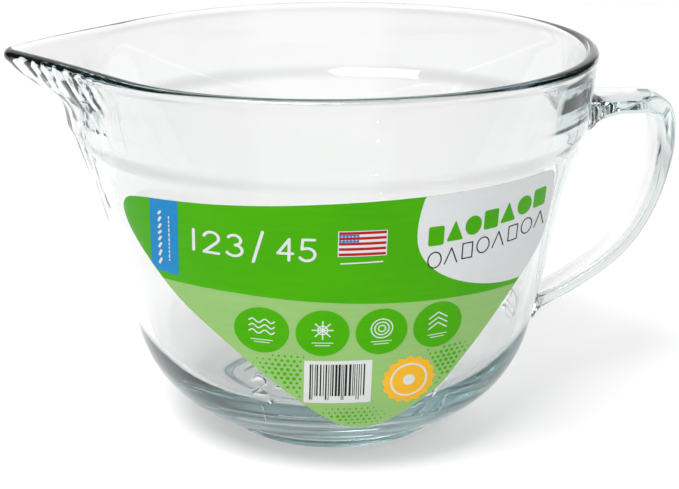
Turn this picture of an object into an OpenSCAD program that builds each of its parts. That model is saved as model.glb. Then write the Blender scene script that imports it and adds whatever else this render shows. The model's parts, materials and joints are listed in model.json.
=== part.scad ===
// Glass batter bowl: a wide pressed-glass bowl with a pouring spout, a strap handle, raised
// measuring marks and a printed label wrapped round its front.
// The origin is on the table, at the centre of the foot. +X points at the handle, -X at the
// spout, -Y at the label and +Z up.

/* [Bowl] */
// Height from the table to the crest of the rim
bowl_h = 140; // [130:1:155]
// Outside diameter of the rim's bead
rim_d = 190; // [180:1:204]
// How far the wall just under the collar's step lies inside the rim's edge
waist_in = 5.1; // [3:0.1:7]
// How far the wall lies inside the rim's edge where the rounded shoulder becomes the straight wall
shoulder_in = 21.7; // [17:0.1:26]
// Height at which the rounded shoulder becomes the straight wall
shoulder_z = 37; // [32:1:44]
// Thickness of the glass wall near the rim
wall_t = 4.2; // [3.2:0.1:5.5]
// Thickness of the glass wall where the rounded bottom starts inside
low_wall_t = 5; // [4:0.1:7]
// Height of the inside floor above the table
floor_z = 16.5; // [14:0.5:19]

/* [Collar and rim] */
// Height at which the step under the collar starts
step_z = 107; // [100:1:112]
// Height of the step itself
step_h = 8; // [5:0.5:11]
// How far the step stands out
step_out = 2.6; // [1:0.2:4]
// Width of the rounded bead on the rim
bead_w = 4.7; // [4:0.1:6]
// Height of the bead on the rim
bead_h = 4.8; // [3.5:0.1:7]

/* [Spout] */
// Reach of the lip beyond the rim's bead
spout_reach = 21; // [12:0.5:26]
// Height of the flared part of the spout below the crest of the rim
spout_h = 17.5; // [12:0.5:22]
// Radius of the lip's tip in plan
tip_r = 10; // [6:0.5:12]
// How far the tip of the lip rises above the rest of the rim
lip_lift = 1.9; // [0:0.1:4]
// Bulge of the wall that leads up to the spout
throat_out = 2.8; // [1:0.2:4]

/* [Foot] */
// Outside diameter of the foot at the table
foot_d = 82; // [76:1:92]
// Height of the foot
foot_h = 3.5; // [3:0.5:8]
// Bevel of the foot's lower edge
foot_bevel = 0.8; // [0.3:0.1:1.2]

/* [Handle] */
// Distance from the bowl's axis to the outside of the handle
handle_reach = 127.2; // [120:1:140]
// Height of the top of the handle
handle_top_z = 119; // [113:1:124]
// Height of the middle of the handle's lower root at the bowl
handle_foot_z = 38; // [34:1:50]
// Width of the strap along its top
strap_top_w = 21; // [16:0.5:25]
// Width of the strap at its lower root
strap_low_w = 16; // [13:0.5:22]
// Thickness of the strap along its top
strap_top_t = 7.6; // [5:0.1:9]
// Thickness of the strap down its side
strap_t = 5; // [4:0.1:8]
// Extra width of the upper root where the strap runs into the bowl
root_flare = 12; // [4:0.5:20]

/* [Measuring marks] */
// Height of the figures
digit_h = 7; // [5:0.5:9]
// Width of the figures
digit_w = 4; // [3:0.5:6]
// Width of the raised strokes
stroke_w = 0.9; // [0.6:0.1:1.4]
// How far the marks stand out of the glass
mark_t = 0.5; // [0.3:0.1:0.8]
// Height of the lowest measuring line
mark_z = 24; // [20:0.5:28]
// Distance between measuring lines
mark_pitch = 12.3; // [10:0.1:14]
// Length of a measuring line round the wall
mark_len = 15; // [8:1:24]

/* [Label] */
// Width of the label across its front
label_w = 145; // [120:1:152]
// Height of the label
label_h = 89; // [70:1:92]
// Height of the label's lowest point
label_z = 18; // [16:1:22]
// Sideways place of the label's middle, away from the handle
label_shift = 4.5; // [0:0.5:8]
// Thickness of the label's film
film_t = 0.2; // [0.15:0.05:0.4]
// Thickness of the printed areas on the film
ink_t = 0.1; // [0.08:0.02:0.2]
// Diameter of the round marks in the label's row
disc_d = 17.5; // [10:0.5:19]
// Diameter of the round badge
badge_d = 19; // [12:0.5:24]

/* [Hidden] */

// Steps round the bowl, fine over the spout and coarse over the rest
SPOUT_STEPS = 40;
REST_STEPS = 56;
SPOUT_SECTOR = 48;
COLUMNS = SPOUT_STEPS + REST_STEPS;
FINE = 96;

rim_r = rim_d / 2;
waist_r = rim_r - waist_in;
shoulder_r = rim_r - shoulder_in;
foot_r = foot_d / 2;
bead_r = bead_w / 2;
collar_top_z = bowl_h - bead_h;
// The foot's sides spread a little towards the bowl
foot_spread = 1.7;
// The underside of the shoulder starts a little outside the foot
heel_out = 2.9;
heel_up = 2.1;
heel_r = foot_r + heel_out;
heel_z = foot_h + heel_up;
// Slope at which the shoulder leaves the heel
heel_angle = 10.5;
// Pull of the shoulder's corner, 1 for a plain parabola
shoulder_pull_share = 0.81;
// The bead stands out a little from the collar
bead_out = 0.4;
collar_top_r = rim_r - bead_out;
collar_foot_r = waist_r + step_out;
// Half width of the flat part of the floor, as a share of the foot
floor_share = 0.88;
// Height of the inner corner above the outer one
inner_corner_up = 5;

function clamp01(x) = min(1, max(0, x));
function smooth(x) = let(t = clamp01(x)) t * t * (3 - 2 * t);
function mix(a, b, t) = a + (b - a) * t;

// Outline of the outer wall, as [radius, height], from the heel to the rim's crest
wall_slope = atan2(step_z - shoulder_z, waist_r - shoulder_r);
// The corner where the heel's and the wall's slopes meet
corner_t = ((shoulder_r - heel_r) * sin(wall_slope) - (shoulder_z - heel_z) * cos(wall_slope))
    / sin(wall_slope - heel_angle);
corner = [heel_r + corner_t * cos(heel_angle), heel_z + corner_t * sin(heel_angle)];
function conic(a, b, c, pull, t) =
    let(w0 = (1 - t) * (1 - t), w1 = 2 * pull * t * (1 - t), w2 = t * t)
    (a * w0 + b * w1 + c * w2) / (w0 + w1 + w2);
SHOULDER_STEPS = 9;
WALL_STEPS = 6;
STEP_STEPS = 5;
COLLAR_STEPS = 7;
BEAD_STEPS = 9;
shoulder_line = [for (i = [0 : SHOULDER_STEPS])
    conic([heel_r, heel_z], corner, [shoulder_r, shoulder_z], shoulder_pull_share,
        i / SHOULDER_STEPS)];
wall_line = [for (i = [1 : WALL_STEPS])
    mix([shoulder_r, shoulder_z], [waist_r, step_z], i / WALL_STEPS)];
step_line = [for (i = [1 : STEP_STEPS])
    [mix(waist_r, collar_foot_r, smooth(i / STEP_STEPS)),
        mix(step_z, step_z + step_h, i / STEP_STEPS)]];
collar_line = [for (i = [1 : COLLAR_STEPS])
    mix([collar_foot_r, step_z + step_h], [collar_top_r, collar_top_z], i / COLLAR_STEPS)];
// The bead: up its outside, over its round top and down to the inner wall
bead_mid_r = rim_r - bead_r;
bead_mid_z = bowl_h - bead_r;
BEAD_START = -25;
BEAD_END = 180;
bead_line = [for (i = [0 : BEAD_STEPS])
    let(q = mix(BEAD_START, BEAD_END, i / BEAD_STEPS))
    [bead_mid_r + bead_r * cos(q), bead_mid_z + bead_r * sin(q)]];

// Outline of the inner wall, from the bead down to the floor
INNER_WALL_STEPS = 11;
INNER_SHOULDER_STEPS = 9;
outer_line = concat(shoulder_line, wall_line, step_line, collar_line);
wall_heights = [for (p = outer_line) [p[1], p[0]]];
function outer_r(z) = lookup(z, wall_heights);
inner_top = [rim_r - bead_w, bead_mid_z];
inner_low_z = shoulder_z + inner_corner_up;
inner_low = [outer_r(inner_low_z) - low_wall_t, inner_low_z];
inner_wall_line = [for (i = [1 : INNER_WALL_STEPS])
    let(z = mix(inner_top[1], inner_low_z, i / INNER_WALL_STEPS))
    [mix(inner_top[0], inner_low[0], i / INNER_WALL_STEPS), z]];
floor_r = foot_r * floor_share;
inner_slope = atan2(inner_top[1] - inner_low_z, inner_top[0] - inner_low[0]);
inner_corner = [inner_low[0] - (inner_low_z - floor_z) / tan(inner_slope), floor_z];
inner_shoulder_line = [for (i = [1 : INNER_SHOULDER_STEPS])
    conic(inner_low, inner_corner, [floor_r, floor_z], 1, i / INNER_SHOULDER_STEPS)];

// How far the keel of the spout lies beyond the round wall at a height
flare_z = bowl_h - spout_h;
FLARE_SOFT = 0.12;
FLARE_ROUND = 0.65;
function flare(z) =
    let(
        t = (z - flare_z) / (spout_h - bead_r),
        soft = min(1, (t + sqrt(t * t + FLARE_SOFT * FLARE_SOFT)) / 2)
    )
    mix(soft, sin(90 * soft), FLARE_ROUND);
// How far under the step the throat's bulge starts, as a share of the spout's height
throat_share = 1.6;
throat_z = step_z - spout_h * throat_share;
function throat(z) = smooth((z - throat_z) / (step_z + step_h - throat_z));
function keel(z) = throat_out * throat(z) + (spout_reach - throat_out) * flare(z);
// The channel inside the spout lies this share of the wall's thickness above the keel
channel_share = 0.5;
channel_up = wall_t * channel_share;

// Distance from the axis to the plan's outline at angle a from the spout: a circle of radius
// r and the round tip of radius tip, joined by straight tangents
function plan_r(a, r, reach, tip) =
    reach <= 0 ? r :
    let(
        c = r + reach - tip,
        joint_a = acos(min(1, (r - tip) / c)),
        tip_a = atan2(tip * sin(joint_a), c + tip * cos(joint_a)),
        b = abs(a)
    )
    b >= joint_a ? r :
    b >= tip_a ? r / cos(joint_a - b) :
    c * cos(b) + sqrt(max(0, tip * tip - c * c * sin(b) * sin(b)));

// Rise of the lip near the spout
LIFT_SECTOR = 52;
function lift(a) = abs(a) >= LIFT_SECTOR ? 0 : lip_lift * pow(cos(90 * a / LIFT_SECTOR), 2);
function lift_part(z) = smooth((z - step_z) / (bowl_h - step_z));

// Rows of the shell: radius, height, reach of the spout and radius of its tip
outer_rows = [for (p = outer_line)
    [p[0], p[1], keel(p[1]), tip_r - (rim_r - collar_top_r)]];
bead_rows = [for (i = [0 : BEAD_STEPS])
    let(p = bead_line[i], inner_part = smooth((i / BEAD_STEPS - 0.5) * 2))
    [p[0], p[1], mix(spout_reach, keel(p[1] - channel_up), inner_part), tip_r - (rim_r - p[0])]];
inner_rows = [for (p = concat(inner_wall_line, inner_shoulder_line))
    [p[0], p[1], keel(p[1] - channel_up), tip_r - bead_w]];
underside_row = [[foot_r + foot_spread, foot_h, 0, tip_r]];
outer_shell_rows = concat(underside_row, outer_rows, bead_rows);
shell_rows = concat(outer_shell_rows, inner_rows);

columns = concat(
    [for (i = [0 : SPOUT_STEPS - 1]) mix(-SPOUT_SECTOR, SPOUT_SECTOR, i / SPOUT_STEPS)],
    [for (i = [0 : REST_STEPS - 1]) mix(SPOUT_SECTOR, 360 - SPOUT_SECTOR, i / REST_STEPS)]);

function wrapped(a) = a > 180 ? a - 360 : a;
function ring_points(row) = [for (c = columns)
    let(a = wrapped(c), r = plan_r(a, row[0], row[2], row[3]))
    [-r * cos(a), -r * sin(a), row[1] + lift(a) * lift_part(row[1])]];

// A closed skin through rows of points, with a point at the middle of the first and last row
module skin(rows, first_z, last_z) {
    count = len(rows);
    points = concat([for (row = rows) each ring_points(row)], [[0, 0, first_z], [0, 0, last_z]]);
    first_mid = count * COLUMNS;
    last_mid = first_mid + 1;
    faces = concat(
        [for (i = [0 : COLUMNS - 1]) [first_mid, i, (i + 1) % COLUMNS]],
        [for (j = [0 : count - 2]) for (i = [0 : COLUMNS - 1])
            let(k = (i + 1) % COLUMNS)
            each [[j * COLUMNS + i, (j + 1) * COLUMNS + i, (j + 1) * COLUMNS + k],
                [j * COLUMNS + i, (j + 1) * COLUMNS + k, j * COLUMNS + k]]],
        [for (i = [0 : COLUMNS - 1])
            [last_mid, (count - 1) * COLUMNS + (i + 1) % COLUMNS, (count - 1) * COLUMNS + i]]);
    polyhedron(points = points, faces = faces, convexity = 10);
}

module bowl() {
    color([0.86, 0.9, 0.9, 0.4])
        skin(shell_rows, foot_h, floor_z);
}

// The outside of the bowl as a full body, used to trim what meets it
module bowl_body() {
    skin(outer_shell_rows, foot_h, bowl_h - bead_r);
}

module foot() {
    color([0.86, 0.9, 0.9, 0.4])
        rotate_extrude($fn = FINE)
            polygon([[0, 0], [foot_r - foot_bevel, 0], [foot_r, foot_bevel],
                [foot_r + foot_spread, foot_h], [0, foot_h]]);
}

// Handle: the middle line of the strap, as shares of its reach from the wall and of its height
handle_root_r = outer_r(handle_top_z) - wall_t / 2;
handle_out = handle_reach - strap_t / 2 - handle_root_r;
handle_tall = handle_top_z - strap_top_t / 2 - handle_foot_z;
strap_path_shares = [[0, 1], [0.3, 1], [0.6, 1], [0.79, 1], [0.935, 0.965], [0.99, 0.865],
    [0.985, 0.735], [0.905, 0.57], [0.76, 0.42], [0.6, 0.315], [0.45, 0.245], [0.28, 0.185],
    [0.09, 0.13], [-0.1, 0.08], [-0.3, 0.04], [-0.7, -0.03]];
strap_path = [for (p = strap_path_shares)
    [handle_root_r + p[0] * handle_out, handle_foot_z + p[1] * handle_tall]];
PATH_POINTS = len(strap_path);
PATH_STEPS = 4;
function path_point(i) = strap_path[min(PATH_POINTS - 1, max(0, i))];
function spline(p0, p1, p2, p3, t) =
    (p1 * 2 + (p2 - p0) * t + (p0 * 2 - p1 * 5 + p2 * 4 - p3) * t * t
        + (p1 * 3 - p0 - p2 * 3 + p3) * t * t * t) / 2;
strap_line = concat(
    [for (i = [0 : PATH_POINTS - 2]) for (s = [0 : PATH_STEPS - 1])
        spline(path_point(i - 1), path_point(i), path_point(i + 1), path_point(i + 2), s / PATH_STEPS)],
    [path_point(PATH_POINTS - 1)]);
STRAP_COUNT = len(strap_line);
STRAP_SIDES = 20;
// How square the strap's section is: 1 is an ellipse and 0 a rectangle
SECTION_ROUND = 0.55;
function strap_dir(i) =
    let(d = strap_line[min(STRAP_COUNT - 1, i + 1)] - strap_line[max(0, i - 1)])
    d / norm(d);
// The strap spreads and thickens where it runs into the wall
upper_root_len = 15;
lower_root_len = 12;
upper_root_t = 4;
lower_root_t = 2;
lower_root_flare = root_flare / 4;
// Most of the upper root's extra thickness hangs under the strap
root_drop_share = 0.4;
handle_mid_z = (handle_foot_z + handle_top_z) / 2;
function root_part(p, root_z, len) =
    (p[1] > handle_mid_z) == (root_z > handle_mid_z)
        ? pow(clamp01(1 - (p[0] - outer_r(root_z)) / len), 2) : 0;
// 1 along the top of the strap and 0 from the middle of its side down
function top_part(p) = smooth((p[1] - handle_mid_z) / (handle_top_z - strap_top_t - handle_mid_z));
function squared(c) = sign(c) * pow(abs(c), SECTION_ROUND);
function strap_ring(i) =
    let(
        p = strap_line[i],
        d = strap_dir(i),
        up = root_part(p, handle_top_z, upper_root_len),
        low = root_part(p, handle_foot_z, lower_root_len),
        top = top_part(p),
        w = mix(strap_low_w, strap_top_w, clamp01((p[1] - handle_foot_z) / handle_tall))
            + root_flare * up + lower_root_flare * low,
        t = mix(strap_t, strap_top_t, top) + upper_root_t * up + lower_root_t * low
    )
    [for (s = [0 : STRAP_SIDES - 1])
        let(
            q = 360 * s / STRAP_SIDES,
            across = w / 2 * squared(cos(q)),
            out = t / 2 * squared(sin(q))
        )
        [p[0] - d[1] * out, across, p[1] + d[0] * out - upper_root_t * up * root_drop_share]];

module strap() {
    points = [for (i = [0 : STRAP_COUNT - 1]) each strap_ring(i)];
    last = (STRAP_COUNT - 1) * STRAP_SIDES;
    faces = concat(
        [[for (s = [0 : STRAP_SIDES - 1]) s]],
        [for (i = [0 : STRAP_COUNT - 2]) for (s = [0 : STRAP_SIDES - 1])
            let(k = (s + 1) % STRAP_SIDES, a = i * STRAP_SIDES, b = a + STRAP_SIDES)
            each [[a + s, b + s, b + k], [a + s, b + k, a + k]]],
        [[for (s = [0 : STRAP_SIDES - 1]) last + STRAP_SIDES - 1 - s]]);
    polyhedron(points = points, faces = faces, convexity = 10);
}

module handle() {
    color([0.84, 0.89, 0.9, 0.5])
        difference() {
            strap();
            bowl_body();
        }
}

// A thin layer on the round wall between two heights, as a cross-section with the wall's corners
function layer_heights(z0, z1) =
    concat([z0], [for (p = outer_line) if (p[1] > z0 && p[1] < z1) p[1]], [z1]);
module layer_section(z0, z1, inset, t) {
    heights = layer_heights(z0, z1);
    last = len(heights) - 1;
    polygon(concat(
        [for (z = heights) [outer_r(z) + inset, z]],
        [for (i = [0 : last]) let(z = heights[last - i]) [outer_r(z) + inset + t, z]]));
}

// Wraps a flat outline, drawn as seen from the front, on to the wall
module wrapped_on_wall(z0, z1, inset, t) {
    intersection() {
        rotate_extrude($fn = FINE)
            layer_section(z0, z1, inset, t);
        rotate([90, 0, 0])
            linear_extrude(height = rim_r)
                children();
    }
}

// A rectangle from one corner to the other
module box_between(x0, x1, z0, z1) {
    translate([x0, z0])
        square([x1 - x0, z1 - z0]);
}

// Strokes of a figure: shares of its width and height, from corner to corner
DIGIT_SHARES = [
    [[[0.4, 0], [0.4, 1]]],
    [[[0, 0], [1, 0]], [[0, 0], [0, 0.5]], [[0, 0.5], [1, 0.5]], [[1, 0.5], [1, 1]],
        [[0, 1], [1, 1]]],
    [[[0, 0], [1, 0]], [[1, 0], [1, 1]], [[0.3, 0.5], [1, 0.5]], [[0, 1], [1, 1]]],
    [[[1, 0], [1, 1]], [[0, 0.5], [1, 0.5]], [[0, 0.5], [0, 1]]],
    [[[0, 0], [1, 0]], [[1, 0], [1, 0.5]], [[0, 0.5], [1, 0.5]], [[0, 0.5], [0, 1]],
        [[0, 1], [1, 1]]],
    [[[0, 0], [1, 0]], [[1, 0], [1, 0.5]], [[0, 0.5], [1, 0.5]], [[0, 0], [0, 1]],
        [[0, 1], [1, 1]]]
];
module digit(value, x, z) {
    half = stroke_w / 2;
    for (s = DIGIT_SHARES[value - 1])
        box_between(x + s[0][0] * digit_w - half, x + s[1][0] * digit_w + half,
            z + s[0][1] * digit_h - half, z + s[1][1] * digit_h + half);
}

// A column of measuring lines from x = 0, with a figure beside each
digit_gap = 4;
module scale_column(count) {
    for (i = [0 : count - 1]) {
        z = mark_z + i * mark_pitch;
        digit(i + 1, -digit_gap - digit_w, z - digit_h / 2);
        box_between(0, mark_len, z - stroke_w / 2, z + stroke_w / 2);
    }
}

// Marks that stand out of the wall, turned round the bowl's axis from the front
module marks_on_wall(turn, top_z) {
    rotate([0, 0, turn])
        wrapped_on_wall(mark_z - digit_h, top_z + digit_h, 0, mark_t)
            children();
}

glass_mark = [0.9, 0.93, 0.93, 0.6];
FRONT_TURN = -23;
SIDE_TURN = 16;
BACK_TURN = 163;
FRONT_MARKS = 2;
BACK_MARKS = 6;
// The figure on the other side of the label, and the distance between its two digits
SIDE_FIGURE = [2, 4];
figure_pitch = 8;
module scale_front() {
    color(glass_mark)
        difference() {
            union() {
                marks_on_wall(FRONT_TURN, mark_z + mark_pitch * (FRONT_MARKS - 1))
                    scale_column(FRONT_MARKS);
                marks_on_wall(SIDE_TURN, mark_z)
                    for (i = [0 : len(SIDE_FIGURE) - 1])
                        digit(SIDE_FIGURE[i], i * figure_pitch, mark_z - digit_h / 2);
            }
            label_hole();
        }
}

module scale_back() {
    color(glass_mark)
        marks_on_wall(BACK_TURN, mark_z + mark_pitch * (BACK_MARKS - 1))
            scale_column(BACK_MARKS);
}

// Outline of the label: shares of its width from the middle and of its height from its foot
label_shares = [[0.032, 0], [-0.017, 0.02], [-0.09, 0.116], [-0.204, 0.269], [-0.292, 0.4],
    [-0.379, 0.521], [-0.443, 0.655], [-0.486, 0.771], [-0.499, 0.843], [-0.498, 0.89],
    [-0.482, 0.924], [-0.416, 0.945], [-0.246, 0.967], [-0.034, 0.99], [0.2, 1], [0.475, 1],
    [0.495, 0.985], [0.5, 0.955], [0.497, 0.721], [0.452, 0.611], [0.396, 0.515], [0.344, 0.41],
    [0.257, 0.245], [0.221, 0.175], [0.16, 0.105], [0.08, 0.01]];
module label_outline() {
    polygon([for (p = label_shares) [p[0] * label_w - label_shift, label_z + p[1] * label_h]]);
}

// The space in front of the bowl that the label covers
module label_hole() {
    rotate([90, 0, 0])
        linear_extrude(height = rim_r)
            label_outline();
}

// A layer over the label's place, cut to a flat outline
module label_layer(inset, t) {
    wrapped_on_wall(label_z - film_t, label_z + label_h + film_t, inset, t)
        children();
}

// A printed area on the film, cut to the label's outline
module print_area() {
    label_layer(film_t, ink_t)
        intersection() {
            label_outline();
            children();
        }
}

// An area given by corners in shares of the label's width and height
module share_area(corner_shares) {
    polygon([for (p = corner_shares) [p[0] * label_w - label_shift, label_z + p[1] * label_h]]);
}

module label_film() {
    color([0.31, 0.71, 0.02])
        label_layer(0, film_t)
            label_outline();
}

stripe_shares = [[-0.44, 0.63], [-0.38, 0.63], [-0.38, 1.1], [-0.44, 1.1]];
module label_stripe() {
    color([0, 0.5, 0.8])
        print_area()
            share_area(stripe_shares);
}

panel_shares = [[0.17, 1.1], [0.13, 0.84], [0.17, 0.7], [0.28, 0.6], [0.44, 0.55], [0.6, 0.6],
    [0.6, 1.1]];
module label_panel() {
    color([0.88, 0.89, 0.9])
        print_area()
            share_area(panel_shares);
}

field_shares = [[-0.6, 0.57], [-0.34, 0.61], [-0.1, 0.59], [0.12, 0.57], [0.27, 0.56], [0.6, 0.52],
    [0.6, -0.1], [-0.6, -0.1]];
module label_field() {
    color([0.62, 0.81, 0.5])
        print_area()
            difference() {
                share_area(field_shares);
                disc_row();
                badge_shape();
                box_shape();
            }
}

// The row of round marks, with the badge and the box under it
DISC_COUNT = 4;
row_x_share = -0.2;
row_z_share = 0.455;
disc_row_x = label_w * row_x_share - label_shift;
disc_row_z = label_z + label_h * row_z_share;
disc_gap = 2;
disc_pitch = disc_d + disc_gap;
under_row_gap = 2;
under_row_z = disc_row_z - disc_d / 2 - under_row_gap;
badge_x_share = 0.14;
badge_x = label_w * badge_x_share - label_shift;
badge_z = under_row_z - badge_d / 2;
box_w_share = 0.155;
box_w = label_w * box_w_share;
box_h = 17;
box_x_share = -0.105;
box_x = label_w * box_x_share - label_shift;
box_z = under_row_z - box_h;

module disc_row() {
    for (i = [0 : DISC_COUNT - 1])
        translate([disc_row_x + i * disc_pitch, disc_row_z])
            circle(d = disc_d, $fn = FINE / 2);
}

module badge_shape() {
    translate([badge_x, badge_z])
        circle(d = badge_d, $fn = FINE / 2);
}

module box_shape() {
    translate([box_x, box_z])
        square([box_w, box_h]);
}

module label_discs() {
    color([0.25, 0.65, 0.05])
        print_area()
            disc_row();
}

module label_badge() {
    color([1, 0.62, 0.12])
        print_area()
            badge_shape();
}

module label_box() {
    color([0.96, 0.96, 0.96])
        print_area()
            box_shape();
}

bowl();
foot();
handle();
scale_front();
scale_back();
label_film();
label_stripe();
label_panel();
label_field();
label_discs();
label_badge();
label_box();
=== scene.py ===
# Glass batter bowl with a printed label, on a pale floor in soft light.
# The axes are the part's own: +X towards the handle, -X the spout, -Y the label, +Z up.
import json
import math

import bpy
import bmesh
import numpy as np
from mathutils import Matrix, Vector
from mathutils.geometry import delaunay_2d_cdt

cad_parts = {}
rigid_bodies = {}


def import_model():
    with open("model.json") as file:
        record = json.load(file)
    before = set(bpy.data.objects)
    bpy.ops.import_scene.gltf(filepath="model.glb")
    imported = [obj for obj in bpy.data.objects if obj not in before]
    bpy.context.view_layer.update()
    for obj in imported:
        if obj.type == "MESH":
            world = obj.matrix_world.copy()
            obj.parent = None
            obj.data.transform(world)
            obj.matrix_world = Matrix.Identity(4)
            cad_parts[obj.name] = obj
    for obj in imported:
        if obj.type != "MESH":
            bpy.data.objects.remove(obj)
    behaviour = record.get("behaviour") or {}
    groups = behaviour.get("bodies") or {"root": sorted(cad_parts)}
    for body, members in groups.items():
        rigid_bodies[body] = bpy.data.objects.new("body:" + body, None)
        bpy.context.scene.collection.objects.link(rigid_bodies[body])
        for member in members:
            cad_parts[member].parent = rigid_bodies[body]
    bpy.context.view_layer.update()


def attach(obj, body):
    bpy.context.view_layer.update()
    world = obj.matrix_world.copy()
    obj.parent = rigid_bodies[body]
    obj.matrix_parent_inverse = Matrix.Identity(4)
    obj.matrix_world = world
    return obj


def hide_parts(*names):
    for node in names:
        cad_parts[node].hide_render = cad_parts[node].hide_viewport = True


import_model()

MM = 0.001
PI = math.pi


# Node trees

def adds(operation, reflected=False):
    """A method of Sum that adds one Math node, its values the other way round where it is reflected."""
    def method(self, *others):
        return self.math(operation, *((*others, self) if reflected else (self, *others)))
    return method


class Sum:
    """An output socket of a node tree that can be written in sums."""

    def __init__(self, tree, out):
        self.tree, self.out = tree, out

    def math(self, operation, *values):
        return self.tree.node("ShaderNodeMath", {"operation": operation}, values)

    def clamped(self):
        return self.tree.node("ShaderNodeClamp", {}, [self, 0.0, 1.0])

    def __neg__(self):
        return self.math("MULTIPLY", self, -1.0)

    __add__, __radd__ = adds("ADD"), adds("ADD", True)
    __sub__, __rsub__ = adds("SUBTRACT"), adds("SUBTRACT", True)
    __mul__, __rmul__ = adds("MULTIPLY"), adds("MULTIPLY", True)
    __truediv__, __rtruediv__ = adds("DIVIDE"), adds("DIVIDE", True)
    __pow__, __abs__, sign = adds("POWER"), adds("ABSOLUTE"), adds("SIGN")
    over, least, most = adds("GREATER_THAN"), adds("MINIMUM"), adds("MAXIMUM")
    sin, cos, arccos, arctan2 = adds("SINE"), adds("COSINE"), adds("ARCCOSINE"), adds("ARCTAN2")


class Tree:
    """A node tree with one way to add any node."""

    def __init__(self, tree):
        self.tree = tree

    def node(self, kind, settings=None, sockets=(), out=0):
        n = self.tree.nodes.new(kind)
        for name, value in (settings or {}).items():
            if name == "stops":
                for stop, (place, colour) in zip(n.color_ramp.elements, value):
                    stop.position = place
                    stop.color = (*colour, 1)
            else:
                setattr(n, name, value)
        pairs = sockets.items() if isinstance(sockets, dict) else enumerate(sockets)
        for key, value in pairs:
            if isinstance(value, Sum):
                self.tree.links.new(value.out, n.inputs[key])
            else:
                n.inputs[key].default_value = value
        return Sum(self, n.outputs[out]) if len(n.outputs) else n

    def parts(self, vector):
        n = self.tree.nodes.new("ShaderNodeSeparateXYZ")
        self.tree.links.new(vector.out, n.inputs[0])
        return [Sum(self, o) for o in n.outputs]

    def attribute(self, name):
        return self.node("GeometryNodeInputNamedAttribute", {"data_type": "FLOAT"}, {"Name": name})

    def noise(self, place, scale, detail=2.0):
        return self.node("ShaderNodeTexNoise", {}, {"Vector": place, "Scale": scale, "Detail": detail})


def shape_tree(name, inputs):
    """A new geometry tree with a mesh input and named inputs for its sizes."""
    tree = bpy.data.node_groups.new(name, "GeometryNodeTree")
    face = tree.interface
    face.new_socket("Mesh", in_out="INPUT", socket_type="NodeSocketGeometry")
    face.new_socket("Mesh", in_out="OUTPUT", socket_type="NodeSocketGeometry")
    for label, value in inputs.items():
        socket = face.new_socket(label, in_out="INPUT", socket_type="NodeSocketFloat")
        socket.default_value = value
    start = tree.nodes.new("NodeGroupInput")
    t = Tree(tree)
    return t, {o.name: Sum(t, o) for o in start.outputs if o.name}


def close_tree(t, mesh, material):
    """Every tree ends in real geometry with its material."""
    real = t.node("GeometryNodeRealizeInstances", {}, [mesh])
    done = t.node("GeometryNodeSetMaterial", {}, {"Geometry": real, "Material": material})
    end = t.tree.nodes.new("NodeGroupOutput")
    t.tree.links.new(done.out, end.inputs[0])


def in_scene(name, data):
    """A new object at the scene's origin."""
    o = bpy.data.objects.new(name, data)
    bpy.context.scene.collection.objects.link(o)
    return o


def grown(name, seed_mesh, t, sizes=None):
    """The plain mesh that a tree makes of a seed mesh."""
    o = in_scene(name + "_seed", seed_mesh)
    m = o.modifiers.new("shape", "NODES")
    m.node_group = t.tree
    for item in t.tree.interface.items_tree:
        if item.in_out == "INPUT" and item.name in (sizes or {}):
            m[item.identifier] = float(sizes[item.name])
    mesh = baked(o)
    bpy.data.objects.remove(o)
    mesh.name = name
    return mesh


def baked(o):
    """A plain mesh of an object with its modifiers worked in."""
    view = bpy.context.evaluated_depsgraph_get()
    view.update()
    return bpy.data.meshes.new_from_object(o.evaluated_get(view), depsgraph=view)


def outwards(mesh):
    """The mesh with all its faces turned outwards."""
    b = bmesh.new()
    b.from_mesh(mesh)
    bmesh.ops.recalc_face_normals(b, faces=b.faces)
    b.to_mesh(mesh)
    b.free()
    return mesh


def flat_mesh(name, points, faces, **values):
    """A mesh whose points carry the numbers that a tree turns into places."""
    mesh = bpy.data.meshes.new(name)
    mesh.from_pydata([tuple(map(float, p)) for p in points], [], faces)
    for key, numbers in values.items():
        mesh.attributes.new(key, "FLOAT", "POINT").data.foreach_set("value", np.asarray(numbers, np.float32))
    return mesh


# Sizes of the bowl in millimetres, and angles in degrees

BOWL_H, RIM_R, WAIST_R, SHOULDER_R, SHOULDER_Z = 140.0, 95.0, 89.9, 73.3, 37.0
WALL_T, LOW_WALL_T, FLOOR_Z, FLOOR_R, INNER_BEND_UP = 4.2, 5.0, 16.5, 36.1, 5
STEP_Z, STEP_H, STEP_OUT = 107.0, 8.0, 2.6
BEAD_W, BEAD_H, BEAD_OUT, BEAD_START, BEAD_TURN = 4.7, 4.8, 0.4, -25, 205
SPOUT_REACH, SPOUT_H, TIP_R, LIP_LIFT, THROAT_OUT = 21.0, 17.5, 10.0, 1.9, 2.8
THROAT_SHARE, FLARE_SOFT, FLARE_ROUND, CHANNEL_SHARE = 1.6, 0.12, 0.65, 0.5
FOOT_R, FOOT_H, FOOT_SPREAD, FOOT_EDGE, FOOT_ROUND = 41.0, 3.5, 1.7, 0.8, (0, 22, 45, 67, 90)
NECK_IN, NECK_UP, NECK_PULL = 0.4, 0.6, 1.6
HEEL_R, HEEL_Z, SHOULDER_PULL = 43.9, 5.6, 0.81
LIFT_SECTOR, HEEL_ANGLE = math.radians(52), math.radians(10.5)
BEAD_R = BEAD_W / 2
COLLAR_TOP = np.array([RIM_R - BEAD_OUT, BOWL_H - BEAD_H])
COLLAR_FOOT = np.array([WAIST_R + STEP_OUT, STEP_Z + STEP_H])

# Radius and height of the shallow hollow under the foot, and the rings of the floor inside
HOLLOW_LINE = [(0, 0.7), (10, 0.7), (20, 0.7), (28, 0.7), (33.5, 0.65), (35.1, 0.45), (36.1, 0.12), (36.9, 0)]
FLOOR_RINGS = (25, 20, 10, 0)

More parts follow.
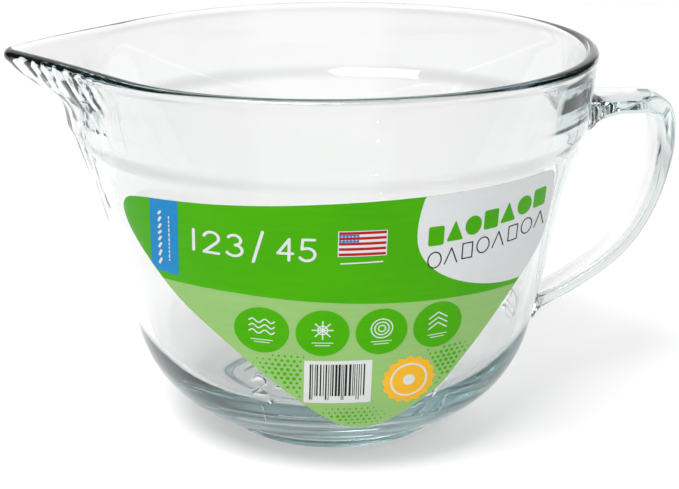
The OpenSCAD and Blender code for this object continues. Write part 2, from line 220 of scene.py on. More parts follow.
# Steps of the skin's rows, and its columns: the turn and step over the spout's tip and its sides
NECK_STEPS, SHOULDER_STEPS, STRAIGHT_STEPS, BEAD_STEPS, INNER_STEPS = 9, 22, 12, 18, 30
TIP_TURN, TIP_STEP, SPOUT_TURN, SPOUT_STEP, FAR_COLUMNS = 7, 0.5, 48, 1.25, 124
NO_TIP = 1e-3

# Points closer than this, in metres, become one
WELD = 1e-6


def smooth(x):
    """A soft step from 0 to 1."""
    t = np.clip(x, 0, 1)
    return t * t * (3 - 2 * t)


def along(a, b, count):
    """Points from a to b, without a itself."""
    a, b = np.asarray(a, float), np.asarray(b, float)
    return [a + (b - a) * i / count for i in range(1, count + 1)]


def conic(a, b, c, pull, count):
    """Points of a curve from a to c that is pulled towards b, without a itself."""
    a, b, c = (np.asarray(p, float) for p in (a, b, c))
    line = []
    for i in range(1, count + 1):
        t = i / count
        w = [(1 - t) ** 2, 2 * pull * t * (1 - t), t * t]
        line.append((a * w[0] + b * w[1] + c * w[2]) / sum(w))
    return line


def arc(cx, cy, rx, ry, first, last, count=12):
    """Points of an arc from the first angle to the last."""
    return [(cx + rx * math.cos(math.radians(first + (last - first) * i / count)),
             cy + ry * math.sin(math.radians(first + (last - first) * i / count))) for i in range(count + 1)]


# The wall's outline

WALL_SLOPE = math.atan2(STEP_Z - SHOULDER_Z, WAIST_R - SHOULDER_R)


def wall_line():
    """Radius and height of the outer wall, from the heel up to the bead."""
    rise, run = SHOULDER_Z - HEEL_Z, SHOULDER_R - HEEL_R
    corner_t = (run * math.sin(WALL_SLOPE) - rise * math.cos(WALL_SLOPE)) / math.sin(WALL_SLOPE - HEEL_ANGLE)
    corner = (HEEL_R + corner_t * math.cos(HEEL_ANGLE), HEEL_Z + corner_t * math.sin(HEEL_ANGLE))
    shoulder = conic((HEEL_R, HEEL_Z), corner, (SHOULDER_R, SHOULDER_Z), SHOULDER_PULL, SHOULDER_STEPS)
    straight = along((SHOULDER_R, SHOULDER_Z), (WAIST_R, STEP_Z), STRAIGHT_STEPS)
    step = [np.array([WAIST_R + STEP_OUT * smooth(i / STRAIGHT_STEPS), STEP_Z + STEP_H * i / STRAIGHT_STEPS])
            for i in range(1, STRAIGHT_STEPS + 1)]
    collar = along(COLLAR_FOOT, COLLAR_TOP, STRAIGHT_STEPS)
    return [np.array([HEEL_R, HEEL_Z])] + shoulder + straight + step + collar


OUTER_LINE = wall_line()
OUTER_Z = np.array([p[1] for p in OUTER_LINE])
OUTER_R = np.array([p[0] for p in OUTER_LINE])


def outer_r(z):
    """The outer wall's radius at a height."""
    return np.interp(z, OUTER_Z, OUTER_R)


def flare(z):
    """How far the spout has come out at a height, from 0 under it to 1 at the bead."""
    t = (z - (BOWL_H - SPOUT_H)) / (SPOUT_H - BEAD_R)
    soft = np.minimum(1, (t + np.sqrt(t * t + FLARE_SOFT ** 2)) / 2)
    return soft + (np.sin(PI / 2 * soft) - soft) * FLARE_ROUND


def keel(z):
    """The spout's reach past the round wall at a height."""
    throat_z = STEP_Z - SPOUT_H * THROAT_SHARE
    throat = smooth((z - throat_z) / (STEP_Z + STEP_H - throat_z))
    return THROAT_OUT * throat + (SPOUT_REACH - THROAT_OUT) * flare(z)


def bead_rows(channel_up):
    """Rows of the round bead, from the collar over the rim to the inner wall."""
    rows = []
    for i in range(BEAD_STEPS + 1):
        q = math.radians(BEAD_START + BEAD_TURN * i / BEAD_STEPS)
        r, z = RIM_R - BEAD_R + BEAD_R * math.cos(q), BOWL_H - BEAD_R + BEAD_R * math.sin(q)
        part = smooth((i / BEAD_STEPS - 0.5) * 2)
        rows.append((r, z, SPOUT_REACH + (keel(z - channel_up) - SPOUT_REACH) * part, TIP_R - (RIM_R - r)))
    return rows


def glass_rows():
    """Rows of the bowl's skin from under the foot to the floor inside: radius, height, the
    spout's reach and the radius of its tip."""
    edge = [(FOOT_R - FOOT_EDGE + FOOT_EDGE * math.sin(q), FOOT_EDGE - FOOT_EDGE * math.cos(q))
            for q in np.radians(FOOT_ROUND)]
    neck_mid = (FOOT_R + FOOT_SPREAD - NECK_IN, FOOT_H + NECK_UP)
    neck = conic((FOOT_R, FOOT_EDGE), neck_mid, (HEEL_R, HEEL_Z), NECK_PULL, NECK_STEPS)
    rows = [(r, z, 0, NO_TIP) for r, z in HOLLOW_LINE + edge + neck]
    tip = TIP_R - (RIM_R - COLLAR_TOP[0])
    rows += [(r, z, keel(z), tip) for r, z in OUTER_LINE[1:]]
    channel_up = WALL_T * CHANNEL_SHARE
    rows += bead_rows(channel_up)
    top = np.array([RIM_R - BEAD_W, BOWL_H - BEAD_R])
    low_z = SHOULDER_Z + INNER_BEND_UP
    low = np.array([outer_r(low_z) - LOW_WALL_T, low_z])
    slope = math.atan2(top[1] - low_z, top[0] - low[0])
    bend = (low[0] - (low_z - FLOOR_Z) / math.tan(slope), FLOOR_Z)
    inner = along(top, low, INNER_STEPS) + conic(low, bend, (FLOOR_R, FLOOR_Z), 1, INNER_STEPS)
    rows += [(r, z, keel(z - channel_up), TIP_R - BEAD_W) for r, z in inner]
    return rows + [(r, FLOOR_Z, 0, NO_TIP) for r in FLOOR_RINGS]


def column_turns():
    """Angles of the skin's columns from the spout, closest together over its tip."""
    near = [*np.arange(-SPOUT_TURN, -TIP_TURN, SPOUT_STEP), *np.arange(-TIP_TURN, TIP_TURN, TIP_STEP),
            *np.arange(TIP_TURN, SPOUT_TURN, SPOUT_STEP)]
    far = [*np.linspace(SPOUT_TURN, 360 - SPOUT_TURN, FAR_COLUMNS)[:-1]]
    return [math.radians(a if a <= 180 else a - 360) for a in near + far]


def ring_faces(rows, columns):
    """Faces between closed rows of points."""
    faces = []
    for j in range(rows - 1):
        for i in range(columns):
            k = (i + 1) % columns
            faces.append((j * columns + i, j * columns + k, (j + 1) * columns + k, (j + 1) * columns + i))
    return faces


def bowl_tree(glass):
    """Turns rows of radius, angle and height round the axis and pulls the spout out of them."""
    t, given = shape_tree("turned_bowl_with_spout", {"Lip lift": LIP_LIFT * MM, "Lift sector": LIFT_SECTOR})
    r, a, z = t.parts(t.node("GeometryNodeInputPosition"))
    reach, tip, rise = (t.attribute(name) for name in ("reach", "tip", "rise"))
    b = abs(a)
    c = r + reach - tip
    joint = ((r - tip) / c).least(1.0).arccos()
    tip_a = (tip * joint.sin()).arctan2(c + tip * joint.cos())
    side = r / (joint - b).cos()
    nose = c * b.cos() + (tip * tip - c * c * b.sin() * b.sin()).most(0.0) ** 0.5
    past_joint, past_tip = b.over(joint), b.over(tip_a)
    pulled = past_tip * side + (1 - past_tip) * nose
    plan = past_joint * r + (1 - past_joint) * pulled
    near = (1 - b / given["Lift sector"]).most(0.0)
    lift = given["Lip lift"] * ((1 - near) * (PI / 2)).cos() ** 2 * near.over(0.0)
    place = t.node("ShaderNodeCombineXYZ", {}, [-(plan * a.cos()), -(plan * a.sin()), z + lift * rise])
    put = t.node("GeometryNodeSetPosition", {}, {"Geometry": given["Mesh"], "Position": place})
    merged = t.node("GeometryNodeMergeByDistance", {}, {"Geometry": put, "Distance": WELD})
    close_tree(t, t.node("GeometryNodeSetShadeSmooth", {}, [merged]), glass)
    return t


def bowl_mesh(glass):
    """The bowl with its spout and foot: outer wall, bead, inner wall and floor in one skin."""
    rows, turns = glass_rows(), column_turns()
    points, reach, tip, rise = [], [], [], []
    for r, z, out, round_r in rows:
        lifted = float(smooth((z - STEP_Z) / (BOWL_H - STEP_Z)))
        for a in turns:
            points.append((r * MM, a, z * MM))
            reach.append(out * MM)
            tip.append(min(round_r, r / 2) * MM)
            rise.append(lifted)
    seed = flat_mesh("bowl_rows", points, ring_faces(len(rows), len(turns)), reach=reach, tip=tip, rise=rise)
    return grown("bowl_skin", seed, bowl_tree(glass))


# The handle

HANDLE_REACH, HANDLE_TOP_Z, HANDLE_FOOT_Z = 127.2, 119.0, 38.0
STRAP_TOP_W, STRAP_LOW_W, STRAP_TOP_T, STRAP_T = 21.0, 16.0, 7.6, 5.0
TOP_ROOT_L, TOP_ROOT_W, TOP_ROOT_T, ROOT_DROP_SHARE = 15, 12.0, 4, 0.4
LOW_ROOT_L, LOW_ROOT_W, LOW_ROOT_T = 12, 3.0, 2
FILLET_L, FILLET_W, FILLET_T, FILLET_POWER = 4.5, 3, 2, 2.5
STRAP_STEPS, STRAP_SIDES, STRAP_ROUNDNESS = 9, 44, 0.55

# The strap's middle line, as shares of its reach out of the wall and of its height
PATH_SHARES = [(0, 1), (0.3, 1), (0.6, 1), (0.79, 1), (0.935, 0.965), (0.99, 0.865), (0.985, 0.735),
               (0.905, 0.57), (0.76, 0.42), (0.6, 0.315), (0.45, 0.245), (0.28, 0.185), (0.09, 0.13),
               (-0.1, 0.08), (-0.3, 0.04), (-0.55, -0.01), (-0.6, -0.02)]


def strap_line():
    """The strap's middle line in the plane of the handle, as radius and height, and its height."""
    root = outer_r(HANDLE_TOP_Z) - WALL_T / 2
    out = HANDLE_REACH - STRAP_T / 2 - root
    tall = HANDLE_TOP_Z - STRAP_TOP_T / 2 - HANDLE_FOOT_Z
    pts = np.array([(root + x * out, HANDLE_FOOT_Z + y * tall) for x, y in PATH_SHARES])
    line = []
    for i in range(len(pts) - 1):
        p0, p1, p2, p3 = pts[max(0, i - 1)], pts[i], pts[i + 1], pts[min(len(pts) - 1, i + 2)]
        for s in range(STRAP_STEPS):
            t = s / STRAP_STEPS
            line.append((p1 * 2 + (p2 - p0) * t + (p0 * 2 - p1 * 5 + p2 * 4 - p3) * t * t
                         + (p1 * 3 - p0 - p2 * 3 + p3) * t ** 3) / 2)
    line.append(pts[-1])
    return np.array(line), tall


def strap_tree(glass):
    """Lays rounded sections along the strap's middle line."""
    t, given = shape_tree("strap_on_its_line", {"Section roundness": STRAP_ROUNDNESS})
    mid_r, mid_z, turn = t.parts(t.node("GeometryNodeInputPosition"))
    wide, thick, dir_r, dir_z = (t.attribute(name) for name in ("wide", "thick", "dir_r", "dir_z"))

    def squared(v):
        return v.sign() * abs(v) ** given["Section roundness"]
    across, out = wide * squared(turn.cos()), thick * squared(turn.sin())
    place = t.node("ShaderNodeCombineXYZ", {}, [mid_r - dir_z * out, across, mid_z + dir_r * out])
    put = t.node("GeometryNodeSetPosition", {}, {"Geometry": given["Mesh"], "Position": place})
    close_tree(t, t.node("GeometryNodeSetShadeSmooth", {}, [put]), glass)
    return t


def nearness(r, root_z, reach, power=2):
    """1 at the wall, falling to 0 at the given reach from it."""
    return min(1.0, max(0.0, 1 - (r - outer_r(root_z)) / reach) ** power)


def strap_section(r, z, tall):
    """Width and thickness of the strap at a point of its middle line, and how far its root drops."""
    mid_z = (HANDLE_FOOT_Z + HANDLE_TOP_Z) / 2
    upper = z > mid_z
    up = nearness(r, HANDLE_TOP_Z, TOP_ROOT_L) if upper else 0
    low = nearness(r, HANDLE_FOOT_Z, LOW_ROOT_L) if not upper else 0
    fillet = nearness(r, HANDLE_TOP_Z if upper else HANDLE_FOOT_Z, FILLET_L, FILLET_POWER)
    top = float(smooth((z - mid_z) / (HANDLE_TOP_Z - STRAP_TOP_T - mid_z)))
    share = min(1, max(0, (z - HANDLE_FOOT_Z) / tall))
    w = STRAP_LOW_W + (STRAP_TOP_W - STRAP_LOW_W) * share
    h = STRAP_T + (STRAP_TOP_T - STRAP_T) * top
    w = w + TOP_ROOT_W * up + LOW_ROOT_W * low + FILLET_W * fillet
    h = h + TOP_ROOT_T * up + LOW_ROOT_T * low + FILLET_T * fillet
    return w, h, TOP_ROOT_T * up * ROOT_DROP_SHARE


def strap_mesh(glass):
    """The handle's strap, closed at both ends, which lie inside the wall."""
    line, tall = strap_line()
    sides, count = STRAP_SIDES, len(line)
    points, wide, thick, dir_r, dir_z = [], [], [], [], []
    for i, p in enumerate(line):
        d = line[min(count - 1, i + 1)] - line[max(0, i - 1)]
        d = d / np.linalg.norm(d)
        w, h, drop = strap_section(p[0], p[1], tall)
        for s in range(sides):
            points.append((p[0] * MM, (p[1] - drop) * MM, 2 * PI * s / sides))
            wide.append(w / 2 * MM)
            thick.append(h / 2 * MM)
            dir_r.append(d[0])
            dir_z.append(d[1])
    caps = [tuple(range(sides)), tuple(range(count * sides - 1, (count - 1) * sides - 1, -1))]
    seed = flat_mesh("strap_rows", points, ring_faces(count, sides) + caps,
                     wide=wide, thick=thick, dir_r=dir_r, dir_z=dir_z)
    return grown("strap_skin", seed, strap_tree(glass))


# Raised measuring marks

DIGIT_H, DIGIT_W, DIGIT_GAP, PAIR_PITCH = 7.0, 4.0, 4, 8
MARK_Z, MARK_PITCH, MARK_LEN, MARK_POINTS, MARK_SIDES = 24.0, 12.3, 15.0, 8, 8
FRONT_TURN, PAIR_TURN, FRONT_BEAD, FRONT_LIFT = -23, 16, 0.33, -0.1
BACK_TURN, BACK_BEAD, BACK_LIFT = 163, 0.8, -0.77
FRONT_MARKS, BACK_MARKS = 2, 6

# Strokes of each figure, as shares of its width and height
FIGURE_SHARES = {
    1: [[(0.5, 0), (0.5, 1)]],
    2: [arc(0.5, 0.72, 0.5, 0.28, 165, -35) + [(0, 0), (1, 0)]],
    3: [arc(0.45, 0.76, 0.45, 0.24, 150, -80, 10) + arc(0.45, 0.27, 0.55, 0.27, 80, -150, 10)],
    4: [[(0.75, 0), (0.75, 1), (0, 0.32), (1, 0.32)]],
    5: [[(0.95, 1), (0.15, 1), (0.1, 0.55)] + arc(0.45, 0.3, 0.55, 0.3, 120, -150)],
    6: [[(0.8, 1), (0.25, 0.6)] + arc(0.5, 0.3, 0.5, 0.3, 160, 510, 20)],
}


def figure(value, x, z, wide=DIGIT_W, tall=DIGIT_H):
    """Strokes of a figure with its lower left corner at x, z."""
    return [[(x + u * wide, z + v * tall) for u, v in stroke] for stroke in FIGURE_SHARES[value]]


def scale_strokes(count):
    """Strokes of a scale: figures from 1 up, each beside its line."""
    strokes = []
    for i in range(count):
        z = MARK_Z + i * MARK_PITCH
        strokes += figure(i + 1, -DIGIT_GAP - DIGIT_W, z - DIGIT_H / 2)
        strokes.append([(x, z) for x in np.linspace(0, MARK_LEN, MARK_POINTS)])
    return strokes


def on_wall(x, z, turn, lift):
    """A place on the wall: x round it from the front at the given turn, and its height."""
    r = float(outer_r(z)) + lift
    y = -math.sqrt(r * r - x * x)
    c, s = math.cos(turn), math.sin(turn)
    return (x * c - y * s, x * s + y * c, z)


def mark_tree(glass):
    """A round bead of glass along each line."""
    t, given = shape_tree("bead_along_lines", {"Bead radius": FRONT_BEAD * MM})
    lines = t.node("GeometryNodeMeshToCurve", {}, [given["Mesh"]])
    ring = t.node("GeometryNodeCurvePrimitiveCircle", {}, {
        "Resolution": MARK_SIDES, "Radius": given["Bead radius"]})
    bead = t.node("GeometryNodeCurveToMesh", {}, {"Curve": lines, "Profile Curve": ring, "Fill Caps": True})
    close_tree(t, bead, glass)
    return t


def mark_meshes(glass):
    """The raised marks: a short scale and two figures in front, and a full scale at the back."""
    t = mark_tree(glass)
    low_z = MARK_Z - DIGIT_H / 2
    pair = figure(2, 0, low_z) + figure(4, PAIR_PITCH, low_z)
    placed = [(s, FRONT_TURN, FRONT_BEAD, FRONT_LIFT) for s in scale_strokes(FRONT_MARKS)]
    placed += [(s, PAIR_TURN, FRONT_BEAD, FRONT_LIFT) for s in pair]
    placed += [(s, BACK_TURN, BACK_BEAD, BACK_LIFT) for s in scale_strokes(BACK_MARKS)]
    meshes = []
    for i, (stroke, turn, bead, lift) in enumerate(placed):
        pts = [Vector(on_wall(x, z, math.radians(turn), lift)) * MM for x, z in stroke]
        seed = bpy.data.meshes.new(f"mark_line_{i}")
        seed.from_pydata(pts, [(k, k + 1) for k in range(len(pts) - 1)], [])
        meshes.append(grown(f"mark_{i}", seed, t, {"Bead radius": bead * MM}))
    return meshes


def glass_piece(glass):
    """One seamless piece of glass: bowl, spout and foot, the handle and the raised marks."""
    skin = in_scene("glass_bowl", bowl_mesh(glass))
    group = bpy.data.collections.new("joined_glass")
    bpy.context.scene.collection.children.link(group)
    for i, mesh in enumerate([strap_mesh(glass)] + mark_meshes(glass)):
        group.objects.link(bpy.data.objects.new(f"joined_{i}", outwards(mesh)))
    outwards(skin.data)
    m = skin.modifiers.new("join", "BOOLEAN")
    m.operation, m.solver, m.operand_type, m.collection = "UNION", "EXACT", "COLLECTION", group
    mesh = baked(skin)
    skin.modifiers.clear()
    skin.data = mesh
    for o in list(group.objects):
        bpy.data.objects.remove(o)
    bpy.data.collections.remove(group)
    mesh.polygons.foreach_set("use_smooth", [True] * len(mesh.polygons))
    mesh.materials.clear()
    mesh.materials.append(glass)
    mesh.polygons.foreach_set("material_index", [0] * len(mesh.polygons))
    return skin


# The glass

# Where the faces wave, in millimetres: the spout's throat, the handle's root, and the ribs under the lip
THROAT_X, THROAT_Z, THROAT_NEAR, THROAT_WAVES = -100, 108, 50, 0.8
ROOT_X, ROOT_Z, ROOT_NEAR, ROOT_WAVES = 98, 108, 40, 0.4
LIP_X, LIP_Z, LIP_LONG, LIP_TALL, LIP_SIDE = -104, 130, 24, 14, 4
RIB_ACROSS, RIB_UP, RIB_BENDS, RIB_HEIGHT = 1700, 900, 5, 0.17
FOLDS, CLOUDS = 90.0, 9.0


def new_material(name):
    """An empty material and its tree."""
    m = bpy.data.materials.new(name)
    m.use_nodes = True
    m.node_tree.nodes.clear()
    return m, Tree(m.node_tree)


def glass_material():
    """Clear pressed glass: its faces wave round the spout's throat and the handle's root, fine ribs run
    under the lip on the label's side, and its depth is teal."""
    m, t = new_material("clear_pressed_glass")
    place = t.node("ShaderNodeTexCoord", {}, (), "Object")
    x, y, z = t.parts(place)

    def ball(ball_x, ball_z, near):
        far = ((x - ball_x * MM) ** 2 + y * y + (z - ball_z * MM) ** 2) ** 0.5
        return (1 - far / (near * MM)).clamped()
    throat, root = ball(THROAT_X, THROAT_Z, THROAT_NEAR), ball(ROOT_X, ROOT_Z, ROOT_NEAR)
    folds = t.noise(place, FOLDS)
    off_lip = (((x - LIP_X * MM) / (LIP_LONG * MM)) ** 2 + ((z - LIP_Z * MM) / (LIP_TALL * MM)) ** 2) ** 0.5
    near_lip = (1 - off_lip).clamped() * (0.5 - y / (LIP_SIDE * MM)).clamped()
    ribs = (x * RIB_ACROSS + z * RIB_UP + folds * RIB_BENDS).sin()
    relief = folds * (throat * THROAT_WAVES + root * ROOT_WAVES) + ribs * near_lip * RIB_HEIGHT
    wavy = t.node("ShaderNodeBump", {}, {"Strength": 1.0, "Distance": MM, "Height": relief})
    tone = t.node("ShaderNodeValToRGB", {
        "stops": [(0.35, (0.925, 0.915, 0.909)), (0.65, (0.95, 0.938, 0.932))]}, [t.noise(place, CLOUDS)])
    shine = t.node("ShaderNodeBsdfPrincipled", {}, {
        "Base Color": tone, "Roughness": 0.0, "IOR": 1.5, "Transmission Weight": 1.0, "Normal": wavy})
    tint = t.node("ShaderNodeVolumeAbsorption", {}, {"Color": (0.47, 0.61, 0.62, 1), "Density": 21.0})
    t.node("ShaderNodeOutputMaterial", {}, {"Surface": shine, "Volume": tint})
    return m


glass = glass_material()
bowl = glass_piece(glass)
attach(bowl, "root")
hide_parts("bowl", "foot", "handle", "scale_front", "scale_back")


# The printed label, in millimetres: x across it from the bowl's middle, z up from the floor

LABEL_W, LABEL_H, LABEL_Z, LABEL_SHIFT = 145.0, 89.0, 18.0, 4.5
LABEL_SHARES = [
    (0.032, 0), (-0.017, 0.02), (-0.09, 0.116), (-0.204, 0.269), (-0.292, 0.4), (-0.379, 0.521),
    (-0.443, 0.655), (-0.486, 0.771), (-0.499, 0.843), (-0.498, 0.89), (-0.482, 0.924), (-0.416, 0.945),
    (-0.246, 0.967), (-0.034, 0.99), (0.2, 1), (0.475, 1), (0.495, 0.985), (0.5, 0.955), (0.497, 0.721),
    (0.452, 0.611), (0.396, 0.515), (0.344, 0.41), (0.257, 0.245), (0.221, 0.175), (0.16, 0.105),
    (0.08, 0.01)]
STRIPE_SHARES = [(-0.44, 0.63), (-0.38, 0.63), (-0.38, 1.1), (-0.44, 1.1)]
PANEL_SHARES = [(0.17, 1.1), (0.13, 0.84), (0.17, 0.7), (0.28, 0.6), (0.44, 0.55), (0.6, 0.6), (0.6, 1.1)]
FIELD_SHARES = [(-0.6, 0.57), (-0.34, 0.61), (-0.1, 0.59), (0.12, 0.57), (0.27, 0.56), (0.6, 0.52),
                (0.6, -0.1), (-0.6, -0.1)]
ROW_SHARES, BADGE_SHARE, BOX_SHARE, BOX_W_SHARE, UNDER_ROW = (-0.2, 0.455), 0.14, -0.105, 0.155, 2
DISC_D, DISC_PITCH, DISC_COUNT = 17.5, 19.5, 4
ROW_X, ROW_Z = LABEL_W * ROW_SHARES[0] - LABEL_SHIFT, LABEL_Z + LABEL_H * ROW_SHARES[1]
UNDER_ROW_Z = ROW_Z - DISC_D / 2 - UNDER_ROW
BADGE_D, BADGE_TEETH, BADGE_TOOTH, BADGE_POINTS = 19.0, 16, 0.45, 144
BADGE_RINGS, BADGE_DOT_R = (6.6, 5.9), 2.1
BOX_W, BOX_H = LABEL_W * BOX_W_SHARE, 17.0
BADGE_X, BADGE_Z = LABEL_W * BADGE_SHARE - LABEL_SHIFT, UNDER_ROW_Z - BADGE_D / 2
BOX_X, BOX_Z = LABEL_W * BOX_SHARE - LABEL_SHIFT, UNDER_ROW_Z - BOX_H

# How far the lower and upper face of each sheet stand out of the wall
BACKING, FILM, PRINT, OVERPRINT = (0.02, 0.07), (0.08, 0.2), (0.18, 0.25), (0.23, 0.29)
CORNER_PATCH, RED_LINES, TOP_LINES = (0.26, 0.3), (0.27, 0.31), (0.27, 0.32)

# The grid that lets a sheet bend, in a box that holds the label, and the depth of the rounded shoulder
GRID, COARSE_GRID, GRID_ROW_SHARE, LABEL_FROM, LABEL_TO, LOOP_STEP = 2.0, 2.2, 0.9, -80, 75, 1.3
SHOULDER_DEPTH, SHOULDER_POWERS, DEPTH_COUNT = 20, (2, 3, 4, 5), 40
SHARP = math.radians(35)

# How the loops are cut into triangles: only inside them, with points closer than this made one
INSIDE_ONLY, CLOSE = 1, 1e-4


def on_label(shares):
    """Places from shares of the label's width and height."""
    return [(x * LABEL_W - LABEL_SHIFT, LABEL_Z + z * LABEL_H) for x, z in shares]


def sides_of(loop):
    """Both ends of each side of a loop."""
    return list(zip(loop, loop[1:] + loop[:1]))


def rounded(loop, times=2):
    """A loop whose corners are cut off again and again until it is smooth."""
    for _ in range(times):
        loop = [(a[0] + (b[0] - a[0]) * s, a[1] + (b[1] - a[1]) * s)
                for a, b in sides_of(loop) for s in (0.25, 0.75)]
    return loop


def box_loop(x0, z0, x1, z1):
    """The corners of a box, from its lower left one round."""
    return [(x0, z0), (x1, z0), (x1, z1), (x0, z1)]


def soft_corners(loop, r, count=5):
    """A loop with its corners rounded."""
    out = []
    for i, p in enumerate(loop):
        ends = []
        for q in (loop[i - 1], loop[(i + 1) % len(loop)]):
            long = math.hypot(q[0] - p[0], q[1] - p[1])
            ends.append((p[0] + (q[0] - p[0]) * r / long, p[1] + (q[1] - p[1]) * r / long))
        for k in range(count + 1):
            s = k / count
            w = ((1 - s) ** 2, 2 * s * (1 - s), s * s)
            out.append(tuple(ends[0][j] * w[0] + p[j] * w[1] + ends[1][j] * w[2] for j in (0, 1)))
    return out


def line_loops(points, width):
    """A drawn line with round ends, as the loops that cover it."""
    loops = [arc(x, z, width / 2, width / 2, 0, 330, 11) for x, z in points]
    for (ax, az), (bx, bz) in zip(points, points[1:]):
        long = math.hypot(bx - ax, bz - az)
        sx, sz = -(bz - az) / long * width / 2, (bx - ax) / long * width / 2
        loops.append([(ax + sx, az + sz), (ax - sx, az - sz), (bx - sx, bz - sz), (bx + sx, bz + sz)])
    return loops


LABEL_LOOP = rounded(on_label(LABEL_SHARES))


def inside(x, z, loop, margin):
    """Whether a place lies inside a loop and at least the margin from its sides."""
    hits, gap = False, math.inf
    for (ax, az), (bx, bz) in sides_of(loop):
        if (az > z) != (bz > z) and x < ax + (z - az) / (bz - az) * (bx - ax):
            hits = not hits
        squared = (bx - ax) ** 2 + (bz - az) ** 2
        s = min(1, max(0, ((x - ax) * (bx - ax) + (z - az) * (bz - az)) / squared))
        gap = min(gap, math.hypot(x - ax - s * (bx - ax), z - az - s * (bz - az)))
    return hits and gap >= margin


def finely(loop):
    """A loop with its long sides cut into short ones."""
    out = []
    for a, b in sides_of(loop):
        count = max(1, math.ceil(math.hypot(b[0] - a[0], b[1] - a[1]) / LOOP_STEP))
        out += [(a[0] + (b[0] - a[0]) * i / count, a[1] + (b[1] - a[1]) * i / count) for i in range(count)]
    return out


def grid_points(loops, grid):
    """Staggered points over the loops that lie on the label."""
    xs, zs = [p[0] for loop in loops for p in loop], [p[1] for loop in loops for p in loop]
    rows = np.arange(max(min(zs), LABEL_Z), min(max(zs), LABEL_Z + LABEL_H), grid * GRID_ROW_SHARE)
    columns = np.arange(max(min(xs), LABEL_FROM), min(max(xs), LABEL_TO), grid)
    return [Vector((x + grid / 2 * (j % 2), z)) for j, z in enumerate(rows) for x in columns]


def sheet(name, loops, level, holes=(), grid=GRID):
    """A thin flat solid of all that lies inside the loops and the label and outside the holes,
    cut small enough to bend. Its x runs across, its y out of the wall and its z up."""
    verts, faces, kind = [], [], []
    for k, group in enumerate((loops, holes, [LABEL_LOOP])):
        for loop in group:
            area = sum(a[0] * b[1] - a[1] * b[0] for a, b in sides_of(loop))
            loop = finely(loop if area > 0 else loop[::-1])
            faces.append(list(range(len(verts), len(verts) + len(loop))))
            verts += [Vector(p) for p in loop]
            kind.append(k)
    if grid:
        verts += grid_points(loops, grid)
    flat, _, tris, _, _, origin = delaunay_2d_cdt(verts, [], faces, INSIDE_ONLY, CLOSE)
    kept = []
    for tri, sources in zip(tris, origin):
        kinds = {kind[s] for s in sources}
        if {0, 2} <= kinds and 1 not in kinds:
            kept.append(tuple(tri))
    used = sorted({v for tri in kept for v in tri})
    place = {v: i for i, v in enumerate(used)}
    n = len(used)
    points = [(flat[v][0] * MM, y * MM, flat[v][1] * MM) for y in level for v in used]
    solid = []
    ways = {(tri[i], tri[(i + 1) % 3]) for tri in kept for i in range(3)}
    for tri in kept:
        a, b, c = (place[v] for v in tri)
        solid += [(a, b, c), (c + n, b + n, a + n)]
    solid += [(place[b], place[a], place[a] + n, place[b] + n) for a, b in ways if (b, a) not in ways]
    mesh = bpy.data.meshes.new(name)
    mesh.from_pydata(points, [], solid)
    return mesh


def bent(t, mesh):
    """Places of a flat mesh bent round the wall: a cone above, and the rounded shoulder below it."""
    x, out, z = t.parts(t.node("GeometryNodeInputPosition"))
    down = ((SHOULDER_Z * MM - z) / (SHOULDER_DEPTH * MM)).most(0.0)
    depths = np.linspace(0, 1, DEPTH_COUNT)
    real = outer_r(SHOULDER_Z - depths * SHOULDER_DEPTH)
    cone = SHOULDER_R - depths * SHOULDER_DEPTH / math.tan(WALL_SLOPE)
    powers = np.stack([depths ** k for k in SHOULDER_POWERS], 1)
    fit = np.linalg.lstsq(powers, cone - real, rcond=None)[0]
    inward = down * (float(fit[-1]) * MM)
    for c in fit[-2::-1]:
        inward = (inward + float(c) * MM) * down
    r = (z - SHOULDER_Z * MM) * (1 / math.tan(WALL_SLOPE)) + SHOULDER_R * MM - inward * down + out
    place = t.node("ShaderNodeCombineXYZ", {}, [x, -((r * r - x * x) ** 0.5), z])
    return t.node("GeometryNodeSetPosition", {}, {"Geometry": mesh, "Position": place})


def place_label(name, mesh, node=None):
    """A finished piece of the label, attached to the root, hiding the node it replaces where it has one."""
    mesh = outwards(mesh)
    mesh.polygons.foreach_set("use_smooth", [True] * len(mesh.polygons))
    mesh.set_sharp_from_angle(angle=SHARP)
    o = in_scene(name, mesh)
    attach(o, "root")
    if node:
        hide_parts(node)


def label_piece(name, meshes, ink, node=None):
    """Flat sheets of one ink, bent round the wall as one piece."""
    t, given = shape_tree("bent_" + name, {})
    close_tree(t, bent(t, given["Mesh"]), ink)
    b = bmesh.new()
    for mesh in meshes:
        b.from_mesh(mesh)
    flat = bpy.data.meshes.new(name + "_flat")
    b.to_mesh(flat)
    b.free()
    place_label(name, grown(name, flat, t), node)


# Small round dots in three patches: the middle and half size of each, and how full it is

DOT_R, DOT_PITCH, DOT_ROW, DOT_GAP, DOT_FADE, DOT_LEAST = 0.8, 2.0, 1.75, 1.2, 0.7, 0.25
DOT_SIDES, DOT_UNEVEN, DOT_SEED, FLOAT_OUT = 12, 0.25, 4, 1
DOTS_X, DOTS_Z = (-44, 40), (21, 50)
DOT_PATCHES = [(-26, 42, 9, 9, 1), (29, 44, 8, 9, 1), (-4, 24, 12, 5, 0.8)]


def room_for_dot(x, z):
    """Whether a dot stays clear of the label's edge, the badge, the box and the discs."""
    on_box = BOX_X - DOT_GAP < x < BOX_X + BOX_W + DOT_GAP and BOX_Z - DOT_GAP < z < BOX_Z + BOX_H + DOT_GAP
    off_badge = math.hypot(x - BADGE_X, z - BADGE_Z) > BADGE_D / 2 + DOT_GAP
    to_disc = min(math.hypot(x - ROW_X - k * DISC_PITCH, z - ROW_Z) for k in range(DISC_COUNT))
    return inside(x, z, LABEL_LOOP, DOT_GAP) and off_badge and not on_box and to_disc > DISC_D / 2 + DOT_GAP


